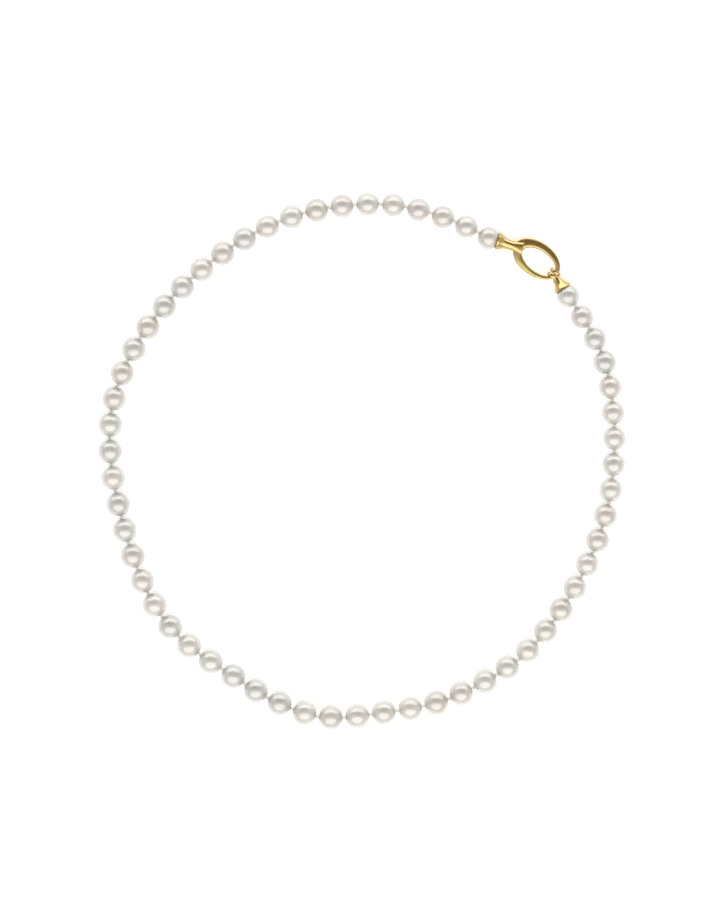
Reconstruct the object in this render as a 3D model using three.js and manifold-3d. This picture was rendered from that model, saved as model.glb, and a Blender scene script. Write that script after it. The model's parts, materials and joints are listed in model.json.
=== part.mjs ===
// An 18 inch strand of knotted pearls with an oval push-gate clasp, lying closed on a table.
// Units are millimetres and +Z is up. The origin is on the table, under the middle of the loop's box.
import * as THREE from 'three';
import { mergeVertices } from 'three/addons/utils/BufferGeometryUtils.js';
import Module from 'manifold-3d';

const wasm = await Module();
wasm.setup();

// ---- Driving dimensions: the strand ----
const PEARL_COUNT = 58;
const END_DIAMETER = 6.5; // pearls beside the clasp
const MIDDLE_DIAMETER = 6.98; // pearls opposite the clasp
const KNOT_RADIUS = 0.55;
const KNOT_REACH = 1.2; // how far a knot's silk runs each way
const KNOT_FACE = { along: 0.2, radius: 0.25 }; // a free knot's blunt end
const KNOT_GAP_LIMITS = [0.4, 1.1]; // the silk between two pearls is worked out inside these

// The line that the silk follows on the table, from the first pearl's centre round to the last's.
const ROUTE = [
  [36.6, 64.4], [29.9, 67.8], [23.2, 70.6], [9.2, 74.0], [-5.2, 73.7], [-20.0, 70.6],
  [-33.8, 64.1], [-46.3, 55.1], [-57.1, 44.4], [-65.8, 32.0], [-71.3, 18.0], [-72.3, 3.5],
  [-69.9, -11.8], [-65.8, -26.6], [-60.0, -40.2], [-51.0, -51.6], [-38.0, -60.6], [-24.8, -68.7],
  [-10.0, -73.5], [5.6, -71.9], [20.9, -69.4], [35.1, -63.2], [47.5, -54.6], [57.1, -42.7],
  [64.8, -29.5], [70.2, -15.2], [72.5, -0.4], [72.3, 14.4], [70.0, 29.0], [66.9, 35.9], [63.2, 42.1],
  [59.3, 47.8],
];

// ---- Driving dimensions: the clasp ----
const RING_CENTRE = [50.2, 58.5];
const RING_TURN = THREE.MathUtils.degToRad(-35.5); // the ring's long axis, in plan
const RING_OUTER = { a: 7.65, b: 4.95 }; // half the ring's length and width
const RING_HOLE = { a: 5.5, b: 2.95, x: 1.05, y: -0.24 }; // set off, so that the ring tapers
const RING_THICKNESS = 1.5;
const RING_BEVEL = 0.42;

const PIN = { x: -5.7, y: -1.7 }; // the gate's hinge, in the ring's own axes
const PIN_RADIUS = 0.3;
const PIN_HOLE_RADIUS = 0.38;
const EAR_RADIUS = 1.75; // the ring's two ears reach this far round the pin
const TONGUE_THICKNESS = 0.5;
const TONGUE_RADIUS = 0.8;
const SLOT_HEIGHT = 0.8; // between the ears, and in the spring's pocket
const NOSE_X = 2.84; // where the gate meets the ring's fixed nose
const LAP_LENGTH = 0.76; // the gate's lip runs this far inside the nose
const LAP_Y = -3.75;
const CLEARANCE = 0.15;
// The gate's side of the ring, cut from the pin to the nose: past the hole, then outside the ring.
const GATE_INSIDE = { x: -2.6, y: -1.4 };
const GATE_OUTSIDE = { x: -8, y: -7, back: -4.2 };
const POCKET = [[-6.6, -1.7], [-5.2, -1.7], [-5.2, 2.2], [-6.0, 2.2]]; // for the spring
const LEAF = { root: 2.0, tip: -0.75, belly: 0.6, x: [-5.75, -5.45, -5.8], thickness: 0.19 };

const CUP_RIM_RADIUS = 2.65;
const CUP_WALL = 0.2;
const SOCKET_PLAY = 0.3; // between a cup and the pearl that it holds
const SILK_BORE_RADIUS = 0.55;
const SILK_RADIUS = 0.3;
const SILK_STOPPER = { length: 0.6, radius: 0.46, end: 0.32 };
const FLARE_STEPS = [0.3, 0.85, 1.6, 2.5]; // places behind the cup's rim
const FLARE = { power: 1.6, length: 2.1 };
const BORE_DEPTH = 2.2;
const BORE_WALL = 0.35; // the gold left behind the bore
const LEFT_CUP = { turn: THREE.MathUtils.degToRad(-17.5), length: 4.6, neck: 1.42, silk: 2.0 };
const RIGHT_CUP = { turn: THREE.MathUtils.degToRad(124.5), length: 3.8, neck: 1.15, silk: 1.3 };
const COLLAR = { length: 3.5, narrow: 2.75, wide: 3.9, thickness: 2.9, bevel: 0.3, root: 0.4, bulge: 0.45 };
const BAIL = { inner: 1.15, outer: 1.68, width: 1.1, split: 0.3, edge: 0.2, turn: THREE.MathUtils.degToRad(-38) };
const BAIL_CENTRE = [6.66, -0.66]; // in the ring's own axes

const PEARL_SIDES = 12;
const PEARL_BAND = Math.PI / 6;
const KNOT_SIDES = 5;
const CUP_SIDES = 20;
const SILK_SIDES = 10;
const ROUND_SIDES = 24; // the bail's loops and the ears

const pearlMaterial = new THREE.MeshStandardMaterial({ color: 0xf1ece4, roughness: 0.22, metalness: 0 });
const silkMaterial = new THREE.MeshStandardMaterial({ color: 0xefe6d8, roughness: 0.8, metalness: 0 });
const goldMaterial = new THREE.MeshStandardMaterial({ color: 0xe0b04a, roughness: 0.18, metalness: 1 });

// ---- Solids ----
function solid(geometry) {
  const bare = geometry.clone();
  bare.deleteAttribute('normal');
  bare.deleteAttribute('uv');
  const merged = mergeVertices(bare, 1e-4);
  return new wasm.Manifold(new wasm.Mesh({
    numProp: 3,
    vertProperties: new Float32Array(merged.attributes.position.array),
    triVerts: new Uint32Array(merged.index.array),
  }));
}

function geometryOf(manifold) {
  const mesh = manifold.getMesh();
  const geometry = new THREE.BufferGeometry();
  geometry.setAttribute('position', new THREE.BufferAttribute(mesh.vertProperties, 3));
  geometry.setIndex(new THREE.BufferAttribute(mesh.triVerts, 1));
  geometry.computeVertexNormals();
  return geometry;
}

// A solid of revolution about +X, from [distance along the axis, radius] pairs.
function turned(profile, sides, start = 0) {
  const points = profile.map(([along, radius]) => new THREE.Vector2(radius, along));
  return new THREE.LatheGeometry(points, sides, start).rotateZ(-Math.PI / 2);
}

// A straight-sided slab of a flat outline, centred on z = 0.
function slab(shape, thickness, curveSegments = 12) {
  const options = { depth: thickness, bevelEnabled: false, curveSegments };
  return new THREE.ExtrudeGeometry(shape, options).translate(0, 0, -thickness / 2);
}

function disc(radius, thickness, sides, x = 0, y = 0) {
  return new THREE.CylinderGeometry(radius, radius, thickness, sides).rotateX(Math.PI / 2).translate(x, y, 0);
}

function polygon(points) {
  return new THREE.Shape(points.map(([x, y]) => new THREE.Vector2(x, y)));
}

function named(name, geometry, material) {
  const mesh = new THREE.Mesh(geometry, material);
  mesh.name = name;
  return mesh;
}

// ---- The strand: where each knot and pearl lies ----
function pearlRadius(number) {
  const share = Math.floor(number / 2) / (PEARL_COUNT / 2);
  return (END_DIAMETER + (MIDDLE_DIAMETER - END_DIAMETER) * Math.sin(Math.PI * share)) / 2;
}

const route = new THREE.CatmullRomCurve3(ROUTE.map(([x, y]) => new THREE.Vector3(x, y, 0)));

// The place further along the route that is one straight stretch away.
function stepAlong(from, stretch) {
  const start = route.getPoint(from);
  let [near, far] = [from, Math.min(1, from + 0.04)];
  for (let i = 0; i < 40; i += 1) {
    const middle = (near + far) / 2;
    if (route.getPoint(middle).distanceTo(start) < stretch) near = middle;
    else far = middle;
  }
  return near;
}

// The knots between the pearls for one length of silk between them, and how far the last pearl
// then is from its cup.
function threadPearls(gap) {
  const knots = [];
  let at = 0;
  for (let number = 1; number < PEARL_COUNT; number += 1) {
    const stretch = number === 1 ? pearlRadius(1) + gap / 2 : 2 * pearlRadius(number) + gap;
    at = stepAlong(at, stretch);
    knots.push(route.getPoint(at));
  }
  const left = route.getPoint(1).distanceTo(knots.at(-1));
  return { knots, spare: left - pearlRadius(PEARL_COUNT) - gap / 2 };
}

// The knots take up the length that the pearls leave.
function solveKnotGap() {
  let [small, large] = KNOT_GAP_LIMITS;
  for (let i = 0; i < 40; i += 1) {
    const gap = (small + large) / 2;
    if (threadPearls(gap).spare > 0) small = gap;
    else large = gap;
  }
  return small;
}

const KNOT_GAP = solveKnotGap();
const { knots } = threadPearls(KNOT_GAP);
const firstCentre = route.getPoint(0);
const lastCentre = route.getPoint(1);

// A pearl with flat facets below, above and at its two drilled ends, each as far out as the true ball.
function pearlGeometry(radius) {
  const corner = radius / Math.cos(PEARL_BAND / 2);
  const side = corner / Math.cos(Math.PI / PEARL_SIDES);
  const profile = [[-radius, 0]];
  for (let angle = PEARL_BAND / 2; angle < Math.PI; angle += PEARL_BAND) {
    profile.push([-corner * Math.cos(angle), side * Math.sin(angle)]);
  }
  profile.push([radius, 0]);
  return turned(profile, PEARL_SIDES, Math.PI / PEARL_SIDES);
}

// A silk knot between two pearls of one node: its ends run into both.
function joiningKnot() {
  return turned([[-KNOT_REACH, 0], [0, KNOT_RADIUS], [KNOT_REACH, 0]], KNOT_SIDES);
}

// A silk knot at the end of a node: it stays clear of the next pearl, which turns about it.
function endKnot() {
  const { along, radius } = KNOT_FACE;
  return turned([[-KNOT_REACH, 0], [0, KNOT_RADIUS], [along, radius], [along, 0]], KNOT_SIDES);
}

// Puts a piece made about +X at a point of the plan, turned to lie along a direction.
function laid(geometry, at, direction) {
  return geometry.rotateZ(Math.atan2(direction.y, direction.x)).translate(at.x, at.y, 0);
}

function pearlSolid(number, from, to) {
  const centre = from.clone().add(to).multiplyScalar(0.5);
  return solid(laid(pearlGeometry(pearlRadius(number)), centre, to.clone().sub(from)));
}

function pearlNumber(number) {
  return String(number).padStart(2, '0');
}

// One rigid stretch of the strand, in a group at the point that it turns about.
function stretchGroup(name, pivot, height, mesh) {
  const group = new THREE.Group();
  group.name = name;
  group.position.set(pivot.x, pivot.y, height);
  mesh.geometry.translate(-pivot.x, -pivot.y, 0);
  group.add(mesh);
  return group;
}

// The first pearl, which turns in the left cup, with the knot behind it.
function firstPearl() {
  const along = knots[0].clone().sub(firstCentre);
  const ball = solid(laid(pearlGeometry(pearlRadius(1)), firstCentre, along));
  const body = ball.add(solid(laid(endKnot(), knots[0], along)));
  return stretchGroup('stretch_01', firstCentre, pearlRadius(1), named('pearl_01', geometryOf(body), pearlMaterial));
}

// Two pearls, the knot between them and the knot after them.
function pearlPair(number) {
  const [start, middle, end] = knots.slice(number - 2, number + 1);
  const body = pearlSolid(number, start, middle)
    .add(pearlSolid(number + 1, middle, end))
    .add(solid(laid(joiningKnot(), middle, end.clone().sub(start))))
    .add(solid(laid(endKnot(), end, end.clone().sub(middle))));
  const label = `${pearlNumber(number)}_${pearlNumber(number + 1)}`;
  const mesh = named(`pearls_${label}`, geometryOf(body), pearlMaterial);
  return stretchGroup(`stretch_${label}`, start, pearlRadius(number), mesh);
}

// The last pearl, which sits in the right cup.
function lastPearl() {
  const from = knots.at(-1);
  const ball = solid(laid(pearlGeometry(pearlRadius(PEARL_COUNT)), lastCentre, lastCentre.clone().sub(from)));
  const mesh = named(`pearl_${PEARL_COUNT}`, geometryOf(ball), pearlMaterial);
  return stretchGroup(`stretch_${PEARL_COUNT}`, from, pearlRadius(PEARL_COUNT), mesh);
}

// ---- The cups ----
const SOCKET_RADIUS = END_DIAMETER / 2 + SOCKET_PLAY;
const RIM_X = Math.sqrt(SOCKET_RADIUS ** 2 - (CUP_RIM_RADIUS - CUP_WALL) ** 2);

// A trumpet-shaped cup about +X, with its pearl's centre at the origin. A blind bore behind the
// socket holds the end of the silk.
function cupSolid(cup) {
  const end = RIM_X + cup.length;
  const boreEnd = Math.min(end - BORE_WALL, SOCKET_RADIUS + BORE_DEPTH);
  const socket = [];
  const startAngle = Math.asin((CUP_RIM_RADIUS - CUP_WALL) / SOCKET_RADIUS);
  const boreAngle = Math.asin(SILK_BORE_RADIUS / SOCKET_RADIUS);
  for (let i = 0; i <= 4; i += 1) {
    const angle = THREE.MathUtils.lerp(boreAngle, startAngle, i / 4);
    socket.push([SOCKET_RADIUS * Math.cos(angle), SOCKET_RADIUS * Math.sin(angle)]);
  }
  const flare = FLARE_STEPS.map((along) => {
    const share = Math.exp(-(along ** FLARE.power) / FLARE.length);
    return [RIM_X + along, cup.neck + (CUP_RIM_RADIUS - cup.neck) * share];
  });
  const profile = [
    [boreEnd, 0], [boreEnd, SILK_BORE_RADIUS], ...socket,
    [RIM_X, CUP_RIM_RADIUS], ...flare, [end, cup.neck], [end, 0],
  ];
  return solid(turned(profile, CUP_SIDES));
}

// The end of the silk: a thread from beside the pearl into the bore, with a stopper knot.
function silkTail(cup) {
  const start = SOCKET_RADIUS + CLEARANCE / 3;
  const end = start + cup.silk;
  const neck = end - SILK_STOPPER.length;
  return turned([
    [start, 0], [start, SILK_RADIUS], [neck, SILK_RADIUS],
    [(neck + end) / 2, SILK_STOPPER.radius], [end, SILK_STOPPER.end], [end, 0],
  ], SILK_SIDES);
}

// A group at a pearl's centre, turned along its cup's axis, which holds the end of the silk.
function cupGroup(name, centre, cup) {
  const group = new THREE.Group();
  group.name = name;
  group.position.set(centre.x, centre.y, END_DIAMETER / 2);
  group.rotation.z = cup.turn;
  group.updateMatrix();
  return group;
}

// Where one group's axes lie in another's.
function seenFrom(group, other) {
  return new THREE.Matrix4().copy(group.matrix).invert().multiply(other.matrix);
}

// The fan-shaped fork at the left cup's neck, which clasps the ring's thick end.
function collarSolid() {
  const start = RIM_X + LEFT_CUP.length - COLLAR.root;
  const end = start + COLLAR.length;
  const waist = start + COLLAR.length / 2;
  const outline = new THREE.Shape();
  outline.moveTo(start, -COLLAR.narrow / 2);
  outline.quadraticCurveTo(waist, -COLLAR.narrow / 2, end, -COLLAR.wide / 2);
  outline.quadraticCurveTo(end + COLLAR.bulge, 0, end, COLLAR.wide / 2);
  outline.quadraticCurveTo(waist, COLLAR.narrow / 2, start, COLLAR.narrow / 2);
  const depth = COLLAR.thickness - 2 * COLLAR.bevel;
  const options = {
    depth, bevelThickness: COLLAR.bevel, bevelSize: COLLAR.bevel, bevelOffset: -COLLAR.bevel,
    bevelSegments: 2, curveSegments: 6,
  };
  return solid(new THREE.ExtrudeGeometry(outline, options).translate(0, 0, -depth / 2));
}

// ---- The ring and its gate, in the ring's own axes ----
function ovalRing() {
  const inset = RING_BEVEL;
  const shape = new THREE.Shape();
  shape.absellipse(0, 0, RING_OUTER.a - inset, RING_OUTER.b - inset, 0, 2 * Math.PI);
  const hole = new THREE.Path();
  hole.absellipse(RING_HOLE.x, RING_HOLE.y, RING_HOLE.a + inset, RING_HOLE.b + inset, 0, 2 * Math.PI);
  shape.holes.push(hole);
  const depth = RING_THICKNESS - 2 * RING_BEVEL;
  const options = { depth, bevelThickness: RING_BEVEL, bevelSize: RING_BEVEL, bevelSegments: 2, curveSegments: 18 };
  return new THREE.ExtrudeGeometry(shape, options).translate(0, 0, -depth / 2);
}

const TALL = 10; // taller than anything that a cutter has to pass through

// The plan of the part of the ring that the gate takes, grown by a clearance where it meets the nose.
function gatePlan(grow) {
  const nose = NOSE_X + grow;
  const lip = nose + LAP_LENGTH;
  return polygon([
    [PIN.x, PIN.y], [GATE_INSIDE.x, GATE_INSIDE.y], [lip, GATE_INSIDE.y], [lip, LAP_Y - grow], [nose, LAP_Y - grow],
    [nose, GATE_OUTSIDE.y], [GATE_OUTSIDE.x, GATE_OUTSIDE.y], [GATE_OUTSIDE.x, GATE_OUTSIDE.back],
  ]);
}

function cylinderAtPin(radius, height, sides = ROUND_SIDES) {
  return solid(disc(radius, height, sides, PIN.x, PIN.y));
}

function claspRing() {
  return solid(ovalRing())
    .subtract(solid(slab(gatePlan(CLEARANCE), TALL)).subtract(cylinderAtPin(EAR_RADIUS, TALL)))
    .subtract(cylinderAtPin(EAR_RADIUS + 2 * CLEARANCE, SLOT_HEIGHT))
    .subtract(solid(slab(polygon(POCKET), SLOT_HEIGHT)))
    .subtract(cylinderAtPin(PIN_HOLE_RADIUS, TALL));
}

function gate() {
  const arm = solid(ovalRing()).intersect(solid(slab(gatePlan(0), TALL)));
  const tongue = arm.intersect(solid(disc(2 * RING_OUTER.a, TONGUE_THICKNESS, 8)));
  return arm.subtract(cylinderAtPin(EAR_RADIUS + CLEARANCE, TALL))
    .add(tongue)
    .add(cylinderAtPin(TONGUE_RADIUS, TONGUE_THICKNESS))
    .subtract(cylinderAtPin(PIN_HOLE_RADIUS, TALL));
}

// A thin bent leaf in the ring's pocket, which presses on the gate's tongue.
function leafSpring() {
  const [root, belly, tip] = LEAF.x;
  const leaf = new THREE.Shape();
  leaf.moveTo(root, LEAF.root);
  leaf.quadraticCurveTo(belly, LEAF.belly, tip, LEAF.tip);
  leaf.lineTo(tip + LEAF.thickness, LEAF.tip);
  leaf.quadraticCurveTo(belly + LEAF.thickness, LEAF.belly, root + LEAF.thickness, LEAF.root);
  return slab(leaf, SLOT_HEIGHT / 2, 6);
}

// The rivet that the gate turns on, with its two ends flush in the ears.
function gatePin() {
  return disc(PIN_RADIUS, RING_THICKNESS, 16, PIN.x, PIN.y);
}

// ---- The bail: two loops side by side round the ring's slim end ----
// A loop about +Y, centred on the bail's middle.
function bailLoop(side) {
  const half = BAIL.width / 2;
  const { outer, edge } = BAIL;
  const bore = BAIL.inner - edge; // the hole is cut after the loops have been joined to the cup
  const profile = [
    [-half, outer - edge], [edge - half, outer], [half - edge, outer], [half, outer - edge],
    [half, bore], [-half, bore], [-half, outer - edge],
  ];
  const offset = side * (BAIL.width + BAIL.split) / 2;
  return solid(turned(profile, ROUND_SIDES).translate(offset, 0, 0).rotateZ(Math.PI / 2));
}

function bailHole() {
  const length = 2 * (BAIL.width + BAIL.split);
  return solid(new THREE.CylinderGeometry(BAIL.inner, BAIL.inner, length, ROUND_SIDES));
}

// ---- Assembly ----
function ringGroup() {
  const group = new THREE.Group();
  group.name = 'ring_axes';
  group.position.set(RING_CENTRE[0], RING_CENTRE[1], END_DIAMETER / 2);
  group.rotation.z = RING_TURN;
  group.updateMatrix();
  group.add(named('clasp_ring', geometryOf(claspRing()), goldMaterial));
  group.add(named('gate_pin', gatePin(), goldMaterial));
  group.add(named('gate_spring', leafSpring(), goldMaterial));
  const hinge = new THREE.Group();
  hinge.name = 'gate';
  hinge.position.set(PIN.x, PIN.y, 0);
  hinge.add(named('clasp_gate', geometryOf(gate()).translate(-PIN.x, -PIN.y, 0), goldMaterial));
  group.add(hinge);
  return group;
}

// The left cup and its fork, slotted for the ring that it is soldered to.
function leftCupGroup(ring) {
  const group = cupGroup('left_cup_axes', firstCentre, LEFT_CUP);
  const bite = new THREE.Shape();
  bite.absellipse(0, 0, RING_OUTER.a + CLEARANCE, RING_OUTER.b + CLEARANCE, 0, 2 * Math.PI);
  const slot = slab(bite, RING_THICKNESS + 2 * CLEARANCE, 18).applyMatrix4(seenFrom(group, ring));
  const body = cupSolid(LEFT_CUP).add(collarSolid()).subtract(solid(slot));
  group.add(named('left_cup', geometryOf(body), goldMaterial));
  group.add(named('left_silk_end', silkTail(LEFT_CUP), silkMaterial));
  return group;
}

// The right cup, cast in one with the bail's two loops.
function catchGroup(ring) {
  const group = cupGroup('catch', lastCentre, RIGHT_CUP);
  const bail = new THREE.Group();
  const at = new THREE.Vector3(...BAIL_CENTRE, 0).applyMatrix4(ring.matrix);
  bail.position.copy(at);
  bail.rotation.z = BAIL.turn;
  bail.updateMatrix();
  const place = seenFrom(group, bail).elements;
  const body = cupSolid(RIGHT_CUP)
    .add(bailLoop(1).transform(place))
    .add(bailLoop(-1).transform(place))
    .subtract(bailHole().transform(place));
  group.add(named('right_cup', geometryOf(body), goldMaterial));
  group.add(named('right_silk_end', silkTail(RIGHT_CUP), silkMaterial));
  return group;
}

function claspGroup(ring) {
  const group = new THREE.Group();
  group.name = 'clasp';
  group.add(ring, leftCupGroup(ring));
  return group;
}

const necklace = new THREE.Group();
necklace.name = 'necklace';
const ring = ringGroup();
necklace.add(claspGroup(ring), firstPearl());
for (let number = 2; number < PEARL_COUNT; number += 2) necklace.add(pearlPair(number));
necklace.add(lastPearl(), catchGroup(ring));

// The origin goes under the middle of the loop's box.
const middle = new THREE.Box3().setFromObject(necklace, true).getCenter(new THREE.Vector3());
necklace.position.set(-middle.x, -middle.y, 0);
necklace.updateMatrixWorld(true);

export default necklace;
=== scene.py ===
# A knotted strand of pearls with an oval push-gate clasp, on a white table in soft studio light.
# Lengths named in millimetres are turned into metres by MM where a mesh is made.
import json
import math

import bmesh
import bpy
import numpy as np
from mathutils import Euler, Matrix, Vector


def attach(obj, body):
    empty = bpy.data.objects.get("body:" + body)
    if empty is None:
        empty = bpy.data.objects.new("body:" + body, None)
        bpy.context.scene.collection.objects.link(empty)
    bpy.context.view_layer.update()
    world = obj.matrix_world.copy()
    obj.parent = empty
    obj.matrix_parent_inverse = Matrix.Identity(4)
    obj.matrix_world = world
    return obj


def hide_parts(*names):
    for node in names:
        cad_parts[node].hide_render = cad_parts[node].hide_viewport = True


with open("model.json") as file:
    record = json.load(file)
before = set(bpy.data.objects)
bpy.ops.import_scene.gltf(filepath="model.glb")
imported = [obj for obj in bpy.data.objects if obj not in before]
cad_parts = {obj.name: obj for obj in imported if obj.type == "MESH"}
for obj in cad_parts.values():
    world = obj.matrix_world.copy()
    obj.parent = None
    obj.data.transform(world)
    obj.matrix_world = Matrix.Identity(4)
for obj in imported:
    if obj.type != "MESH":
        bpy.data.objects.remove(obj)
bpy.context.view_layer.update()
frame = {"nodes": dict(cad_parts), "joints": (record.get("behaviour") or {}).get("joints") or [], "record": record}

MM = 0.001
SEED = 58

# ---- Sizes that the CAD model shares, in millimetres ----
RING_TURN = math.radians(-35.5)
RING_OUTER = (7.65, 4.95)  # half the ring's length and width
RING_HOLE = (5.5, 2.95)
RING_HOLE_AT = (1.05, -0.24)
PIN = (-5.7, -1.7)
PIN_RADIUS = 0.3
EAR_RADIUS = 1.75
TONGUE_RADIUS = 0.8
TONGUE_THICKNESS = 0.5
SLOT_HEIGHT = 0.8
NOSE_X = 2.84
LAP_LENGTH = 0.76
LAP_Y = -3.75
GATE_INSIDE = (-2.6, -1.4)
GATE_OUTSIDE = (-8, -7)
GATE_BACK = -4.2
BAIL_AT = (6.66, -0.66)
BAIL_TURN = math.radians(-38)
BAIL_INNER = 1.15
BAIL_OUTER = 1.68
BAIL_WIDTH = 1.1
BAIL_SPLIT = 0.3
LEFT_TURN = math.radians(-17.5)
RIGHT_TURN = math.radians(124.5)
RIM_X = 2.57
RIM_RADIUS = 2.65
FLARE_POWER = 1.6
FLARE_LENGTH = 2.1
LEFT_NECK = 1.42
LEFT_WAIST = 4.2  # how far behind the rim the left cup's fork starts
FORK_LENGTH = 3.5
RIGHT_NECK = 1.15
RIGHT_LENGTH = 3.8

# ---- Sizes of the finer surface, in millimetres ----
RING_HEIGHT = 0.42  # half the ring's height, before what its width adds
RING_RISE = 0.22  # how much of half its width is added to that
RING_CREST = -0.5  # where the ring's crest is, from -1 at its hole to 1 at its outside
NOSE_CREST = 0.4  # the same at the ring's nose, where the crest has moved outwards
NOSE_TURN = math.radians(330)  # where that is, round the ring from the end of its long axis
RING_POWER = 0.35  # of the section: 1 is round, less is flatter on top and steeper at the sides
RING_DROOP = 0.3  # how much the section falls away from its crest besides, as a share
JOINT_GAP = 0.015
CUT_HEIGHT = 6.0  # taller than the ring
SLOT_ROOM = 0.3
TONGUE_INSET = 0.12
TONGUE_REACH = 0.9
PIN_PLAY = 0.05
SEAT_PLAY = 0.03  # between the left cup's fork and the ring that it clasps
SOCKET_RADIUS = 3.4
BORE_RADIUS = 0.5
LEFT_BORE_END = 5.6
RIGHT_BORE_END = 4.9
FORK_SPREAD = 0.56
FORK_RISE = 0.03
FORK_EDGE = 0.4
PEARL_BANDS = 34
PEARL_SIDES = 48
MOST_SQUEEZE = 0.012  # the most that a pearl is shortened along any axis, as a share
DENT = 0.0018  # half the depth of a pearl's broad dents, as a share
DENT_WAVE = 0.75  # how fast they follow one another, in radians to a millimetre
DRILL_RADIUS = 0.38
DRILL_EDGE = 0.09
THREAD_RADIUS = 0.17
CORE_RADIUS = 0.2  # the thread inside a knot
THREAD_TAIL = 0.15  # how far a knot's thread runs into each pearl
PLY_DEPTH = 0.15  # how deep the groove between the thread's plies is, as a share
TIE_TURNS = 5
CORE_TURNS = 2
KNOT_RING = 0.36
KNOT_LIFT = 0.18
KNOT_ROLL = 1.3  # from each knot to the next, in radians

# ---- Where the strand lies ----
joints = {joint["child"]: joint for joint in frame["joints"]}
bodies = frame["record"]["behaviour"]["bodies"]


def pivot(body):
    return Vector(joints[body]["pos_m"])


def level_spots(node):
    """The middles of the level facets that a strand node stands on, one under each of its pearls."""
    groups = []
    for vertex in frame["nodes"][node].data.vertices:
        if vertex.co.z > 1e-6:
            continue
        near = [g for g in groups if (g[0] - vertex.co).length < 3 * MM]
        if near:
            near[0].append(vertex.co.copy())
        else:
            groups.append([vertex.co.copy()])
    spots = []
    for group in groups:
        xs = [co.x for co in group]
        ys = [co.y for co in group]
        spots.append(Vector(((min(xs) + max(xs)) / 2, (min(ys) + max(ys)) / 2, 0)))
    return spots


def read_strand():
    """Each pearl's number, body, centre, radius and node, in order along the strand."""
    pearls = []
    for body, nodes in bodies.items():
        if not body.startswith("stretch"):
            continue
        start = pivot(body)
        spots = sorted(level_spots(nodes[0]), key=lambda spot: (spot - start).length)
        for number, spot in zip([int(part) for part in body.split("_")[1:]], spots):
            pearls.append({
                "number": number,
                "body": body,
                "node": nodes[0],
                "centre": Vector((spot.x, spot.y, start.z)),
                "radius": start.z,
            })
    return sorted(pearls, key=lambda pearl: pearl["number"])


def read_knots(pearls):
    """The middle of the silk between each pearl and the next."""
    knots = []
    for pearl, after in zip(pearls, pearls[1:]):
        if after["body"] == pearl["body"]:
            knots.append(2 * pearl["centre"] - knots[-1])
        else:
            knots.append(pivot(after["body"]))
    return knots


pearls = read_strand()
knots = read_knots(pearls)


# ---- Meshes ----
def angles_round(count):
    """This many angles, evenly round a whole turn."""
    return np.arange(count) * 2 * math.pi / count


def powered(value, power):
    """A sine or a cosine raised to a power, with its sign kept."""
    return math.copysign(abs(value) ** power, value)


def mesh_piece(name, points, faces):
    """A smooth-shaded piece from points in millimetres."""
    mesh = bpy.data.meshes.new(name)
    mesh.from_pydata([tuple(point) for point in np.asarray(points) * MM], [], faces)
    mesh.update()
    tidy_normals(mesh)
    piece = bpy.data.objects.new(name, mesh)
    bpy.context.scene.collection.objects.link(piece)
    return piece


def tidy_normals(mesh):
    work = bmesh.new()
    work.from_mesh(mesh)
    bmesh.ops.recalc_face_normals(work, faces=work.faces)
    work.to_mesh(mesh)
    work.free()
    mesh.shade_smooth()


def grid_faces(rows, columns, closed_rows):
    """Quads between rows of points; the columns close on themselves, and the rows may too."""
    faces = []
    for i in range(rows if closed_rows else rows - 1):
        j = (i + 1) % rows
        for k in range(columns):
            m = (k + 1) % columns
            faces.append((i * columns + k, i * columns + m, j * columns + m, j * columns + k))
    return faces


def lathe(profile, sides, closed=False):
    """A solid of revolution about X, from pairs of a place along it and a radius, all off the axis."""
    points = [
        (place, radius * math.cos(angle), radius * math.sin(angle))
        for place, radius in profile
        for angle in angles_round(sides)
    ]
    faces = grid_faces(len(profile), sides, closed)
    if not closed:
        faces.append(tuple(range(sides)))
        faces.append(tuple(range((len(profile) - 1) * sides, len(profile) * sides)))
    return points, faces


def tube(route, section, closed):
    """Sweeps a section, a function of the share along the route and the angle that gives a radius."""
    route = np.asarray(route)
    count = len(route)
    if closed:
        tangents = np.roll(route, -1, 0) - np.roll(route, 1, 0)
    else:
        tangents = np.gradient(route, axis=0)
    tangents /= np.linalg.norm(tangents, axis=1)[:, None]
    normal = np.cross(tangents[0], (0.31, 0.52, 0.8))  # from any direction that the route doesn't start in
    normal /= np.linalg.norm(normal)
    normals = [normal]
    for i in range(1, count + 1):
        tangent = tangents[i % count]
        normal = normal - tangent * normal.dot(tangent)
        normal /= np.linalg.norm(normal)
        normals.append(normal)
    # the angle by which a closed sweep's last frame misses its first is spread along it
    across = np.cross(tangents[0], normals[0])
    miss = math.atan2(normals[-1].dot(across), normals[-1].dot(normals[0])) if closed else 0
    points = []
    sides = 10
    for i in range(count):
        share = i / count
        other = np.cross(tangents[i], normals[i])
        for angle in angles_round(sides):
            radius = section(share, angle)
            place = angle - miss * share
            points.append(route[i] + radius * (math.cos(place) * normals[i] + math.sin(place) * other))
    faces = grid_faces(count, sides, closed)
    if not closed:
        faces.append(tuple(range(sides)))
        faces.append(tuple(range((count - 1) * sides, count * sides)))
    return points, faces


def prism(outline, height):
    """A straight-sided slab of a flat outline, centred on z = 0."""
    count = len(outline)
    points = [(x, y, z) for z in (-height / 2, height / 2) for x, y in outline]
    faces = grid_faces(2, count, False)
    faces.append(tuple(range(count)))
    faces.append(tuple(range(count, 2 * count)))
    return points, faces


def disc(radius, height, x, y, sides=96):
    outline = [(x + radius * math.cos(a), y + radius * math.sin(a)) for a in angles_round(sides)]
    return prism(outline, height)


def together(first, second):
    """Two shapes as one list of points and faces."""
    count = len(first[0])
    return [*first[0], *second[0]], first[1] + [tuple(count + i for i in face) for face in second[1]]


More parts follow.
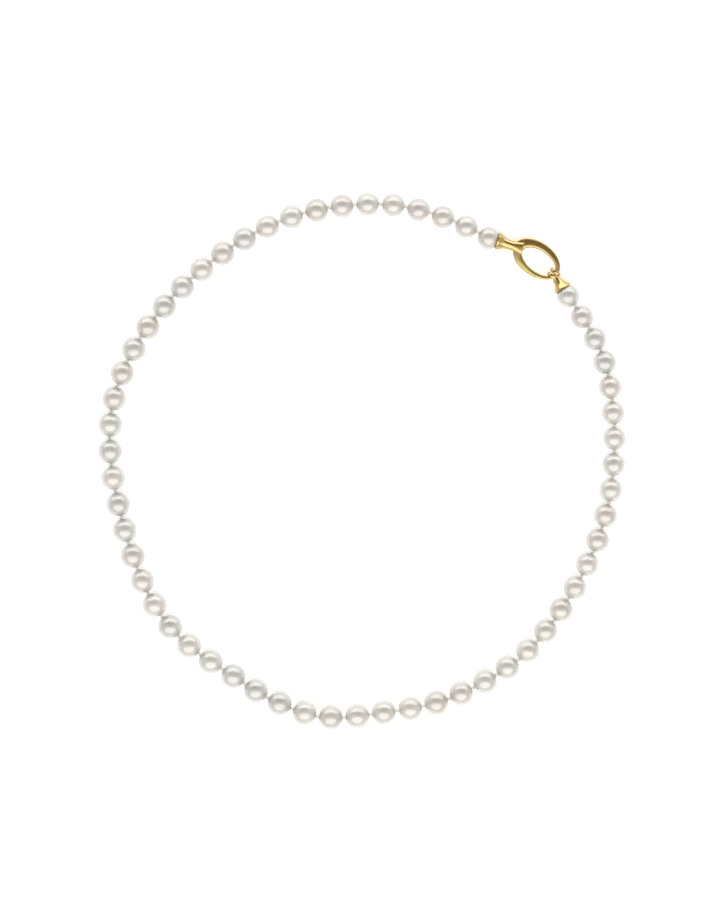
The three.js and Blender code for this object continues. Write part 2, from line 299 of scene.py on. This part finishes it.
def combine(piece, operation, *shapes):
    """Joins, cuts or intersects a piece with other pieces, or with solids given as points and faces."""
    for shape in shapes:
        tool = shape if isinstance(shape, bpy.types.Object) else mesh_piece("tool", *shape)
        modifier = piece.modifiers.new("combine", "BOOLEAN")
        modifier.operation = operation
        modifier.solver = "EXACT"
        modifier.object = tool
        apply_modifiers(piece)
        bpy.data.objects.remove(tool)
    return piece


def apply_modifiers(piece):
    view = bpy.context.evaluated_depsgraph_get()
    mesh = bpy.data.meshes.new_from_object(piece.evaluated_get(view))
    piece.modifiers.clear()
    piece.data = mesh


def crease(piece, degrees):
    """Smooth shading, except over edges sharper than this."""
    work = bmesh.new()
    work.from_mesh(piece.data)
    bmesh.ops.remove_doubles(work, verts=work.verts, dist=1e-7)
    bmesh.ops.dissolve_degenerate(work, dist=1e-7, edges=work.edges)
    work.to_mesh(piece.data)
    work.free()
    piece.data.shade_smooth()
    piece.data.set_sharp_from_angle(angle=math.radians(degrees))
    return piece


def settle(piece, place, body, material, slot, *nodes):
    """Puts a finished piece in its place, on its body, in its material, for its CAD nodes."""
    piece.data.transform(place)
    piece.data.materials.clear()
    piece.data.materials.append(material)
    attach(piece, body)
    if nodes:
        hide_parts(*nodes)


def along(point, direction):
    """The place of something made about +X, with its origin at a point."""
    return Matrix.Translation(point) @ Matrix.Rotation(math.atan2(direction.y, direction.x), 4, "Z")


# ---- Materials ----
def new_material(name):
    material = bpy.data.materials.new(name)
    material.use_nodes = True
    tree = material.node_tree
    return material, tree, tree.nodes["Principled BSDF"]


def add(tree, kind, **values):
    node = tree.nodes.new(kind)
    for key, value in values.items():
        if key in node.inputs:
            node.inputs[key].default_value = value
        else:
            setattr(node, key, value)
    return node


def local_point(tree):
    return tree.nodes.new("ShaderNodeTexCoord").outputs["Object"]


def noise(tree, scale_per_mm, detail=3.0, roughness=0.5, stretch=(1, 1, 1)):
    """Noise with this many features to a millimetre."""
    mapping = add(tree, "ShaderNodeMapping")
    mapping.inputs["Scale"].default_value = [scale_per_mm / MM * s for s in stretch]
    tree.links.new(local_point(tree), mapping.inputs["Vector"])
    texture = add(tree, "ShaderNodeTexNoise", Scale=1.0, Detail=detail, Roughness=roughness)
    tree.links.new(mapping.outputs["Vector"], texture.inputs["Vector"])
    return texture.outputs["Fac"]


def ramp(tree, source, stops):
    node = tree.nodes.new("ShaderNodeValToRGB")
    node.color_ramp.elements[0].position = stops[0][0]
    node.color_ramp.elements[0].color = stops[0][1]
    node.color_ramp.elements[1].position = stops[-1][0]
    node.color_ramp.elements[1].color = stops[-1][1]
    for position, colour in stops[1:-1]:
        node.color_ramp.elements.new(position).color = colour
    tree.links.new(source, node.inputs["Fac"])
    return node.outputs["Color"]


def spread(tree, source, low, high):
    """Stretches the middle of a noise's range over the range from low to high."""
    node = tree.nodes.new("ShaderNodeMapRange")
    node.inputs["From Min"].default_value = 0.3
    node.inputs["From Max"].default_value = 0.7
    node.inputs["To Min"].default_value = low
    node.inputs["To Max"].default_value = high
    tree.links.new(source, node.inputs["Value"])
    return node.outputs["Result"]


def bump(tree, shader, source, height_mm):
    node = add(tree, "ShaderNodeBump", Strength=1.0, Distance=height_mm * MM)
    tree.links.new(source, node.inputs["Height"])
    tree.links.new(node.outputs["Normal"], shader.inputs["Normal"])


def rgba(red, green, blue):
    return (red, green, blue, 1.0)


def mixed(first, second, share):
    return rgba(*[a + (b - a) * share for a, b in zip(first, second)])


NACRE_TINTS = {
    "cream": (0.430, 0.402, 0.354),
    "ivory": (0.460, 0.440, 0.402),
    "rose": (0.440, 0.406, 0.382),
    "silver": (0.402, 0.397, 0.376),
    "green": (0.432, 0.432, 0.387),
}
TINT_SHARES = (0.3, 0.28, 0.16, 0.16, 0.1)  # how many of the pearls have each tint


def nacre_material(name, tint):
    """Nacre: a cloudy body colour under a soft lustre and a clear outer layer."""
    material, tree, shader = new_material("nacre_" + name)
    clouds = noise(tree, 0.22, detail=2.0)
    pale = mixed(tint, (0.52, 0.49, 0.44), 0.35)
    deep = mixed(tint, (0.32, 0.27, 0.21), 0.22)
    colour = ramp(tree, clouds, [(0.3, deep), (0.5, rgba(*tint)), (0.72, pale)])
    tree.links.new(colour, shader.inputs["Base Color"])
    tree.links.new(spread(tree, noise(tree, 0.9), 0.28, 0.34), shader.inputs["Roughness"])
    shader.inputs["IOR"].default_value = 2.2
    shader.inputs["Subsurface Weight"].default_value = 0.5
    shader.inputs["Subsurface Radius"].default_value = (1.0, 0.82, 0.66)
    shader.inputs["Subsurface Scale"].default_value = 1.2 * MM
    shader.inputs["Coat Weight"].default_value = 1.0
    shader.inputs["Coat Roughness"].default_value = 0.17
    shader.inputs["Coat IOR"].default_value = 1.9
    bump(tree, shader, noise(tree, 0.7, detail=2.0), 0.008)
    return material


def gold_material(name, body, polish):
    """Polished gold, with the fine rubbing scratches and dull patches of wear."""
    material, tree, shader = new_material(name)
    shader.inputs["Metallic"].default_value = 1.0
    patches = noise(tree, 0.35, detail=2.0)
    dull = mixed(body, (0.36, 0.22, 0.07), 0.3)
    tree.links.new(ramp(tree, patches, [(0.35, dull), (0.65, rgba(*body))]), shader.inputs["Base Color"])
    scratches = noise(tree, 9.0, detail=5.0, roughness=0.65, stretch=(1, 0.12, 1))
    tree.links.new(spread(tree, scratches, polish, polish + 0.1), shader.inputs["Roughness"])
    bump(tree, shader, scratches, 0.0015)
    return material


def silk_material():
    """Twisted cream silk: fine fibres along the plies, some of them a little soiled."""
    material, tree, shader = new_material("silk_thread")
    fibres = noise(tree, 14.0, detail=4.0, stretch=(0.35, 1, 1))
    soiled, clean, bright = rgba(0.82, 0.77, 0.70), rgba(0.92, 0.90, 0.85), rgba(0.96, 0.95, 0.91)
    colour = ramp(tree, fibres, [(0.3, soiled), (0.55, clean), (0.75, bright)])
    tree.links.new(colour, shader.inputs["Base Color"])
    shader.inputs["Roughness"].default_value = 0.62
    shader.inputs["Sheen Weight"].default_value = 0.25
    shader.inputs["Sheen Roughness"].default_value = 0.35
    bump(tree, shader, fibres, 0.02)
    return material


nacre = [nacre_material(name, tint) for name, tint in NACRE_TINTS.items()]
ring_gold = gold_material("polished_gold", (0.52, 0.39, 0.165), 0.17)
gate_gold = gold_material("gate_gold", (0.36, 0.325, 0.105), 0.17)
cup_gold = gold_material("cup_gold", (0.56, 0.42, 0.17), 0.13)
silk = silk_material()


# ---- The strand ----
def pearl_piece(pearl, before, after):
    """A drilled pearl, very slightly out of round, with its bore along the silk."""
    draw = np.random.default_rng(SEED + pearl["number"])
    radius = pearl["radius"] / MM
    first = math.asin((DRILL_RADIUS + DRILL_EDGE) / radius)
    angles = np.linspace(first, math.pi - first, PEARL_BANDS)
    profile = [(-radius * math.cos(angle), radius * math.sin(angle)) for angle in angles]
    lip = radius * math.cos(first) - 0.6 * DRILL_EDGE
    profile += [(lip, DRILL_RADIUS + 0.25 * DRILL_EDGE), (lip - DRILL_EDGE, DRILL_RADIUS)]
    profile += [(DRILL_EDGE - lip, DRILL_RADIUS), (-lip, DRILL_RADIUS + 0.25 * DRILL_EDGE)]
    points, faces = lathe(profile, PEARL_SIDES, closed=True)
    points = np.asarray(points)
    squeeze = 1 - draw.uniform(0, MOST_SQUEEZE, 3)
    lean = draw.uniform(-1, 1, (4, 3))
    dents = sum(np.sin(points @ (side * DENT_WAVE) + side.sum()) for side in lean) / len(lean)
    points = points * squeeze * (1 - DENT * (1 + dents[:, None]))
    piece = mesh_piece(f"pearl_{pearl['number']:02d}", points, faces)
    turn = along(pearl["centre"], after - before)
    roll = Matrix.Rotation(draw.uniform(0, 2 * math.pi), 4, "X")
    piece.data.transform(roll)
    material = nacre[draw.choice(len(nacre), p=TINT_SHARES)]
    settle(piece, turn, pearl["body"], material, "pearl", pearl["node"])


def silk_section(radius, turns):
    """A two-ply section that turns along the thread."""
    return lambda share, angle: radius * (1 + PLY_DEPTH * math.cos(2 * (angle - 2 * math.pi * turns * share)))


def knot_piece(number, centre, direction, gap, body, node):
    """A pulled-tight overhand knot in the silk, with the thread that runs on into both pearls."""
    loop = []
    for t in angles_round(84):
        reach = KNOT_RING + KNOT_LIFT * math.cos(3 * t)
        loop.append((KNOT_LIFT * math.sin(3 * t), reach * math.cos(2 * t), reach * math.sin(2 * t)))
    half = gap / 2 + THREAD_TAIL
    line = [(x, 0, 0) for x in np.linspace(-half, half, 22)]
    tie = tube(loop, silk_section(THREAD_RADIUS, TIE_TURNS), closed=True)
    thread = tube(line, silk_section(CORE_RADIUS, CORE_TURNS), closed=False)
    piece = mesh_piece(f"knot_{number:02d}", *together(tie, thread))
    piece.data.transform(Matrix.Rotation(number * KNOT_ROLL, 4, "X"))
    settle(piece, along(centre, direction), body, silk, "silk", node)


ends = [2 * pearls[0]["centre"] - knots[0]] + knots + [2 * pearls[-1]["centre"] - knots[-1]]
for pearl, before, after in zip(pearls, ends, ends[1:]):
    pearl_piece(pearl, before, after)
for pearl, after, knot in zip(pearls, pearls[1:], knots):
    direction = after["centre"] - pearl["centre"]
    gap = (direction.length - pearl["radius"] - after["radius"]) / MM
    knot_piece(pearl["number"], knot, direction, gap, pearl["body"], pearl["node"])


# ---- The ring and its gate, in the ring's own axes ----
def ring_place():
    """The ring's axes, found from the gate's pin."""
    turn = Matrix.Rotation(RING_TURN, 4, "Z")
    return Matrix.Translation(pivot("gate") - turn @ (Vector((*PIN, 0)) * MM)) @ turn


def ring_band(grow=0.0):
    """The whole tapered ring, a low dome with steep sides; grow makes it fatter all round."""
    steps = 220
    sides = 36
    points = []
    for t in angles_round(steps):
        outer = np.array((RING_OUTER[0] * math.cos(t), RING_OUTER[1] * math.sin(t)))
        inner = np.array((RING_HOLE[0] * math.cos(t), RING_HOLE[1] * math.sin(t))) + RING_HOLE_AT
        middle = (outer + inner) / 2
        half = np.linalg.norm(outer - inner) / 2
        across = (outer - inner) / (2 * half)
        height = RING_HEIGHT + RING_RISE * half + grow
        crest = RING_CREST + (NOSE_CREST - RING_CREST) * max(0.0, math.cos(t - NOSE_TURN)) ** 2
        for a in angles_round(sides):
            c, s = math.cos(a), math.sin(a)
            side = crest + (1 - crest if c > 0 else 1 + crest) * c
            lift = powered(s, RING_POWER) * (1 - RING_DROOP * c * c) * height
            points.append((*(middle + side * (half + grow) * across), lift))
    return points, grid_faces(steps, sides, True)


def gate_plan(grow):
    """The plan of the part of the ring that the gate takes."""
    left, bottom = GATE_OUTSIDE
    inside = GATE_INSIDE[1]
    tip = NOSE_X + LAP_LENGTH + grow
    nose = NOSE_X + grow
    lap = LAP_Y - grow
    joint = [(tip, inside), (tip, lap), (nose, lap), (nose, bottom)]
    return [PIN, GATE_INSIDE, *joint, (left, bottom), (left, GATE_BACK)]


def ring_piece():
    piece = mesh_piece("ring_body", *ring_band())
    opening = mesh_piece("opening", *prism(gate_plan(JOINT_GAP), CUT_HEIGHT))
    combine(opening, "DIFFERENCE", disc(EAR_RADIUS, CUT_HEIGHT + 2, *PIN))
    slot = disc(EAR_RADIUS + SLOT_ROOM, SLOT_HEIGHT, *PIN)
    pin_hole = disc(PIN_RADIUS, CUT_HEIGHT + 2, *PIN)
    combine(piece, "DIFFERENCE", opening, slot, pin_hole)
    return crease(piece, 32)


def gate_piece():
    piece = combine(mesh_piece("gate_arm", *ring_band()), "INTERSECT", prism(gate_plan(0), CUT_HEIGHT))
    combine(piece, "DIFFERENCE", disc(EAR_RADIUS + JOINT_GAP, CUT_HEIGHT + 2, *PIN))
    tongue = mesh_piece("tongue", *ring_band(-TONGUE_INSET))
    combine(tongue, "INTERSECT", prism(gate_plan(0), TONGUE_THICKNESS))
    combine(tongue, "INTERSECT", disc(EAR_RADIUS + TONGUE_REACH, CUT_HEIGHT + 2, *PIN))
    combine(tongue, "UNION", disc(TONGUE_RADIUS, TONGUE_THICKNESS, *PIN))
    combine(piece, "UNION", tongue)
    combine(piece, "DIFFERENCE", disc(PIN_RADIUS + PIN_PLAY, CUT_HEIGHT + 2, *PIN))
    return crease(piece, 32)


def pin_piece():
    """The rivet: its domed heads stand a hair proud of the ears."""
    profile = [(-0.72, 0.1), (-0.69, 0.22), (-0.62, PIN_RADIUS - 0.01)]
    profile += [(-x, r) for x, r in reversed(profile)]
    piece = mesh_piece("hinge_rivet", *lathe(profile, sides=40))
    piece.data.transform(Matrix.Translation(Vector((*PIN, 0)) * MM) @ Matrix.Rotation(math.pi / 2, 4, "Y"))
    return piece


# ---- The cups, about +X from their pearls' centres ----
def flare(x, neck):
    return neck + (RIM_RADIUS - neck) * math.exp(-((x - RIM_X) ** FLARE_POWER) / FLARE_LENGTH)


def lip_profile(neck, end):
    """From the cup's mouth, round its rolled lip and along the trumpet to its neck."""
    lip = [(RIM_X + 0.10, RIM_RADIUS - 0.24), (RIM_X + 0.01, RIM_RADIUS - 0.16), (RIM_X, RIM_RADIUS - 0.07)]
    lip += [(RIM_X + 0.05, RIM_RADIUS - 0.01)]
    return lip + [(x, flare(x, neck)) for x in np.linspace(RIM_X + 0.16, end, 30)]


def socket(bore_end):
    """The hollow that the pearl sits in, and the blind bore behind it for the silk's end."""
    angles = np.linspace(0.17, 1.3, 24)
    ball = [(SOCKET_RADIUS * math.cos(a), SOCKET_RADIUS * math.sin(a)) for a in angles]
    bore = [(bore_end, BORE_RADIUS - 0.2), (bore_end - 0.1, BORE_RADIUS)]
    bore += [(SOCKET_RADIUS - 0.1, BORE_RADIUS)]
    return lathe(bore + ball, sides=64)


def fork_sections():
    """The left cup's outside, a trumpet that widens again into the fork over the ring. Each section is its
    place along X, its half width, its half height and its power, from 2 for an ellipse to squarer."""
    waist = RIM_X + LEFT_WAIST
    end = waist + FORK_LENGTH
    sections = [(x, r, r, 2.0) for x, r in lip_profile(LEFT_NECK, waist)]
    edge = [end - FORK_EDGE * (1 - s) for s in (0.4, 0.7, 0.9, 1)]
    for x in [*np.linspace(waist + 0.2, end - FORK_EDGE, 14), *edge]:
        share = (x - waist) / (end - waist)
        spent = max(0.0, (x - end + FORK_EDGE) / FORK_EDGE)
        turned_in = FORK_EDGE * (1 - math.sqrt(max(0.0, 1 - spent * spent)))
        wide = LEFT_NECK + FORK_SPREAD * share ** 1.7 - turned_in
        tall = LEFT_NECK + FORK_RISE * share - turned_in
        sections.append((x, wide, tall, 2.0 + 1.2 * share))
    return sections


def left_cup_piece(ring):
    sides = 72
    points = []
    sections = fork_sections()
    for x, wide, tall, power in sections:
        for a in angles_round(sides):
            y = powered(math.cos(a), 2 / power) * wide
            z = powered(math.sin(a), 2 / power) * tall
            points.append((x, y, z))
    faces = grid_faces(len(sections), sides, False)
    faces += [tuple(range(sides)), tuple(range((len(sections) - 1) * sides, len(sections) * sides))]
    piece = combine(mesh_piece("cup_with_fork", points, faces), "DIFFERENCE", socket(LEFT_BORE_END))
    seat = mesh_piece("seat", *ring_band(SEAT_PLAY))
    seat.data.transform(left_place.inverted() @ ring)
    combine(piece, "DIFFERENCE", seat)
    return crease(piece, 34)


def bail_loop(side):
    """One of the bail's two wires, about +Y."""
    middle = (BAIL_INNER + BAIL_OUTER) / 2
    thick = (BAIL_OUTER - BAIL_INNER) / 2
    profile = []
    for a in angles_round(20):
        across = powered(math.cos(a), 0.75) * BAIL_WIDTH / 2
        profile.append((across, middle + powered(math.sin(a), 0.8) * thick))
    points, faces = lathe(profile, sides=72, closed=True)
    offset = side * (BAIL_WIDTH + BAIL_SPLIT) / 2
    return [(-y, x + offset, z) for x, y, z in points], faces


def right_cup_piece(ring):
    piece = mesh_piece("cup_with_bail", *lathe(lip_profile(RIGHT_NECK, RIM_X + RIGHT_LENGTH), sides=72))
    combine(piece, "DIFFERENCE", socket(RIGHT_BORE_END))
    place = right_place.inverted() @ ring @ Matrix.Translation(Vector((*BAIL_AT, 0)) * MM)
    place = place @ Matrix.Rotation(BAIL_TURN - RING_TURN, 4, "Z")
    hole = mesh_piece("hole", *disc(BAIL_INNER + 0.01, 3.4, x=0, y=0))
    hole.data.transform(place @ Matrix.Rotation(math.pi / 2, 4, "X"))
    combine(piece, "DIFFERENCE", hole)
    for side in (1, -1):
        loop = mesh_piece("loop", *bail_loop(side))
        loop.data.transform(place)
        combine(piece, "UNION", loop)
    return crease(piece, 34)


ring_axes = ring_place()
left_place = Matrix.Translation(pivot(pearls[0]["body"])) @ Matrix.Rotation(LEFT_TURN, 4, "Z")
right_place = Matrix.Translation(pivot("catch")) @ Matrix.Rotation(RIGHT_TURN, 4, "Z")
settle(ring_piece(), ring_axes, "clasp", ring_gold, "gold", "clasp_ring")
settle(gate_piece(), ring_axes, "gate", gate_gold, "gold", "clasp_gate")
settle(pin_piece(), ring_axes, "clasp", ring_gold, "gold", "gate_pin")
settle(left_cup_piece(ring_axes), left_place, "clasp", cup_gold, "gold", "left_cup")
settle(right_cup_piece(ring_axes), right_place, "catch", cup_gold, "gold", "right_cup")
for node, material in (("gate_spring", ring_gold), ("left_silk_end", silk), ("right_silk_end", silk)):
    frame["nodes"][node].data.materials.clear()
    frame["nodes"][node].data.materials.append(material)


# ---- The stage: floor, lights and camera ----
def floor():
    size = 6.0
    mesh = bpy.data.meshes.new("floor")
    corners = [(-size, -size, 0), (size, -size, 0), (size, size, 0), (-size, size, 0)]
    mesh.from_pydata(corners, [], [(0, 1, 2, 3)])
    table_top = bpy.data.objects.new("floor", mesh)
    bpy.context.scene.collection.objects.link(table_top)
    material, tree, shader = new_material("white_table")
    shader.inputs["Base Color"].default_value = rgba(0.85, 0.85, 0.85)
    shader.inputs["Roughness"].default_value = 0.7
    shader.inputs["Specular IOR Level"].default_value = 0.1
    shader.inputs["Emission Color"].default_value = rgba(1, 1, 1)
    shader.inputs["Emission Strength"].default_value = 0.34
    mesh.materials.append(material)


def softbox(name, at, width, height, radiance, colour=(1, 1, 1)):
    """An oval light that faces the middle of the strand, hidden from the camera."""
    lamp = bpy.data.lights.new(name, "AREA")
    lamp.shape = "ELLIPSE"
    lamp.size = width
    lamp.size_y = height
    lamp.color = colour
    lamp.energy = radiance * width * height * math.pi ** 2 / 4
    light = bpy.data.objects.new(name, lamp)
    light.location = at
    light.rotation_euler = (Vector() - Vector(at)).to_track_quat("-Z", "Y").to_euler()
    light.visible_camera = False
    bpy.context.scene.collection.objects.link(light)


def dark_card(name, at, width, height, tilt):
    """An oval brown card that the pearls and the gold mirror as a dark arc, hidden from the camera."""
    mesh = bpy.data.meshes.new(name)
    rim = [(width / 2 * math.cos(a), height / 2 * math.sin(a), 0) for a in angles_round(48)]
    mesh.from_pydata(rim, [], [tuple(range(len(rim)))])
    card = bpy.data.objects.new(name, mesh)
    card.location = at
    card.rotation_euler = Euler((tilt, 0, 0))
    card.visible_camera = False
    card.visible_shadow = False
    bpy.context.scene.collection.objects.link(card)
    material, tree, shader = new_material(name)
    shader.inputs["Base Color"].default_value = rgba(0.20, 0.165, 0.13)
    shader.inputs["Roughness"].default_value = 0.9
    shader.inputs["Specular IOR Level"].default_value = 0.0
    mesh.materials.append(material)


def white_room():
    world = bpy.data.worlds.new("white_room")
    world.use_nodes = True
    sky = world.node_tree.nodes["Background"]
    sky.inputs["Color"].default_value = rgba(1, 1, 1)
    sky.inputs["Strength"].default_value = 0.75
    bpy.context.scene.world = world


def camera():
    """Straight above the strand, from far enough away that the pearls don't lean."""
    distance = 1.6
    view_width = 0.2082
    lens = bpy.data.cameras.new("camera")
    lens.sensor_fit = "HORIZONTAL"
    lens.sensor_width = 36.0
    lens.lens = lens.sensor_width * distance / view_width
    lens.clip_end = 20
    view = bpy.data.objects.new("camera", lens)
    view.location = (0.00015, -0.0002, distance + 3.4 * MM)
    bpy.context.scene.collection.objects.link(view)
    bpy.context.scene.camera = view


floor()
white_room()
softbox("key", at=(0, -0.69, 0.87), width=2.6, height=1.35, radiance=1.6, colour=(1.0, 0.975, 0.94))
softbox("rim", at=(0, 1.2, 0.42), width=3.8, height=0.9, radiance=1.75)
dark_card("dark_card", at=(0, 0.48, 0.98), width=2.3, height=0.80, tilt=math.radians(-26))
camera()
bpy.context.scene.view_settings.view_transform = "Standard"
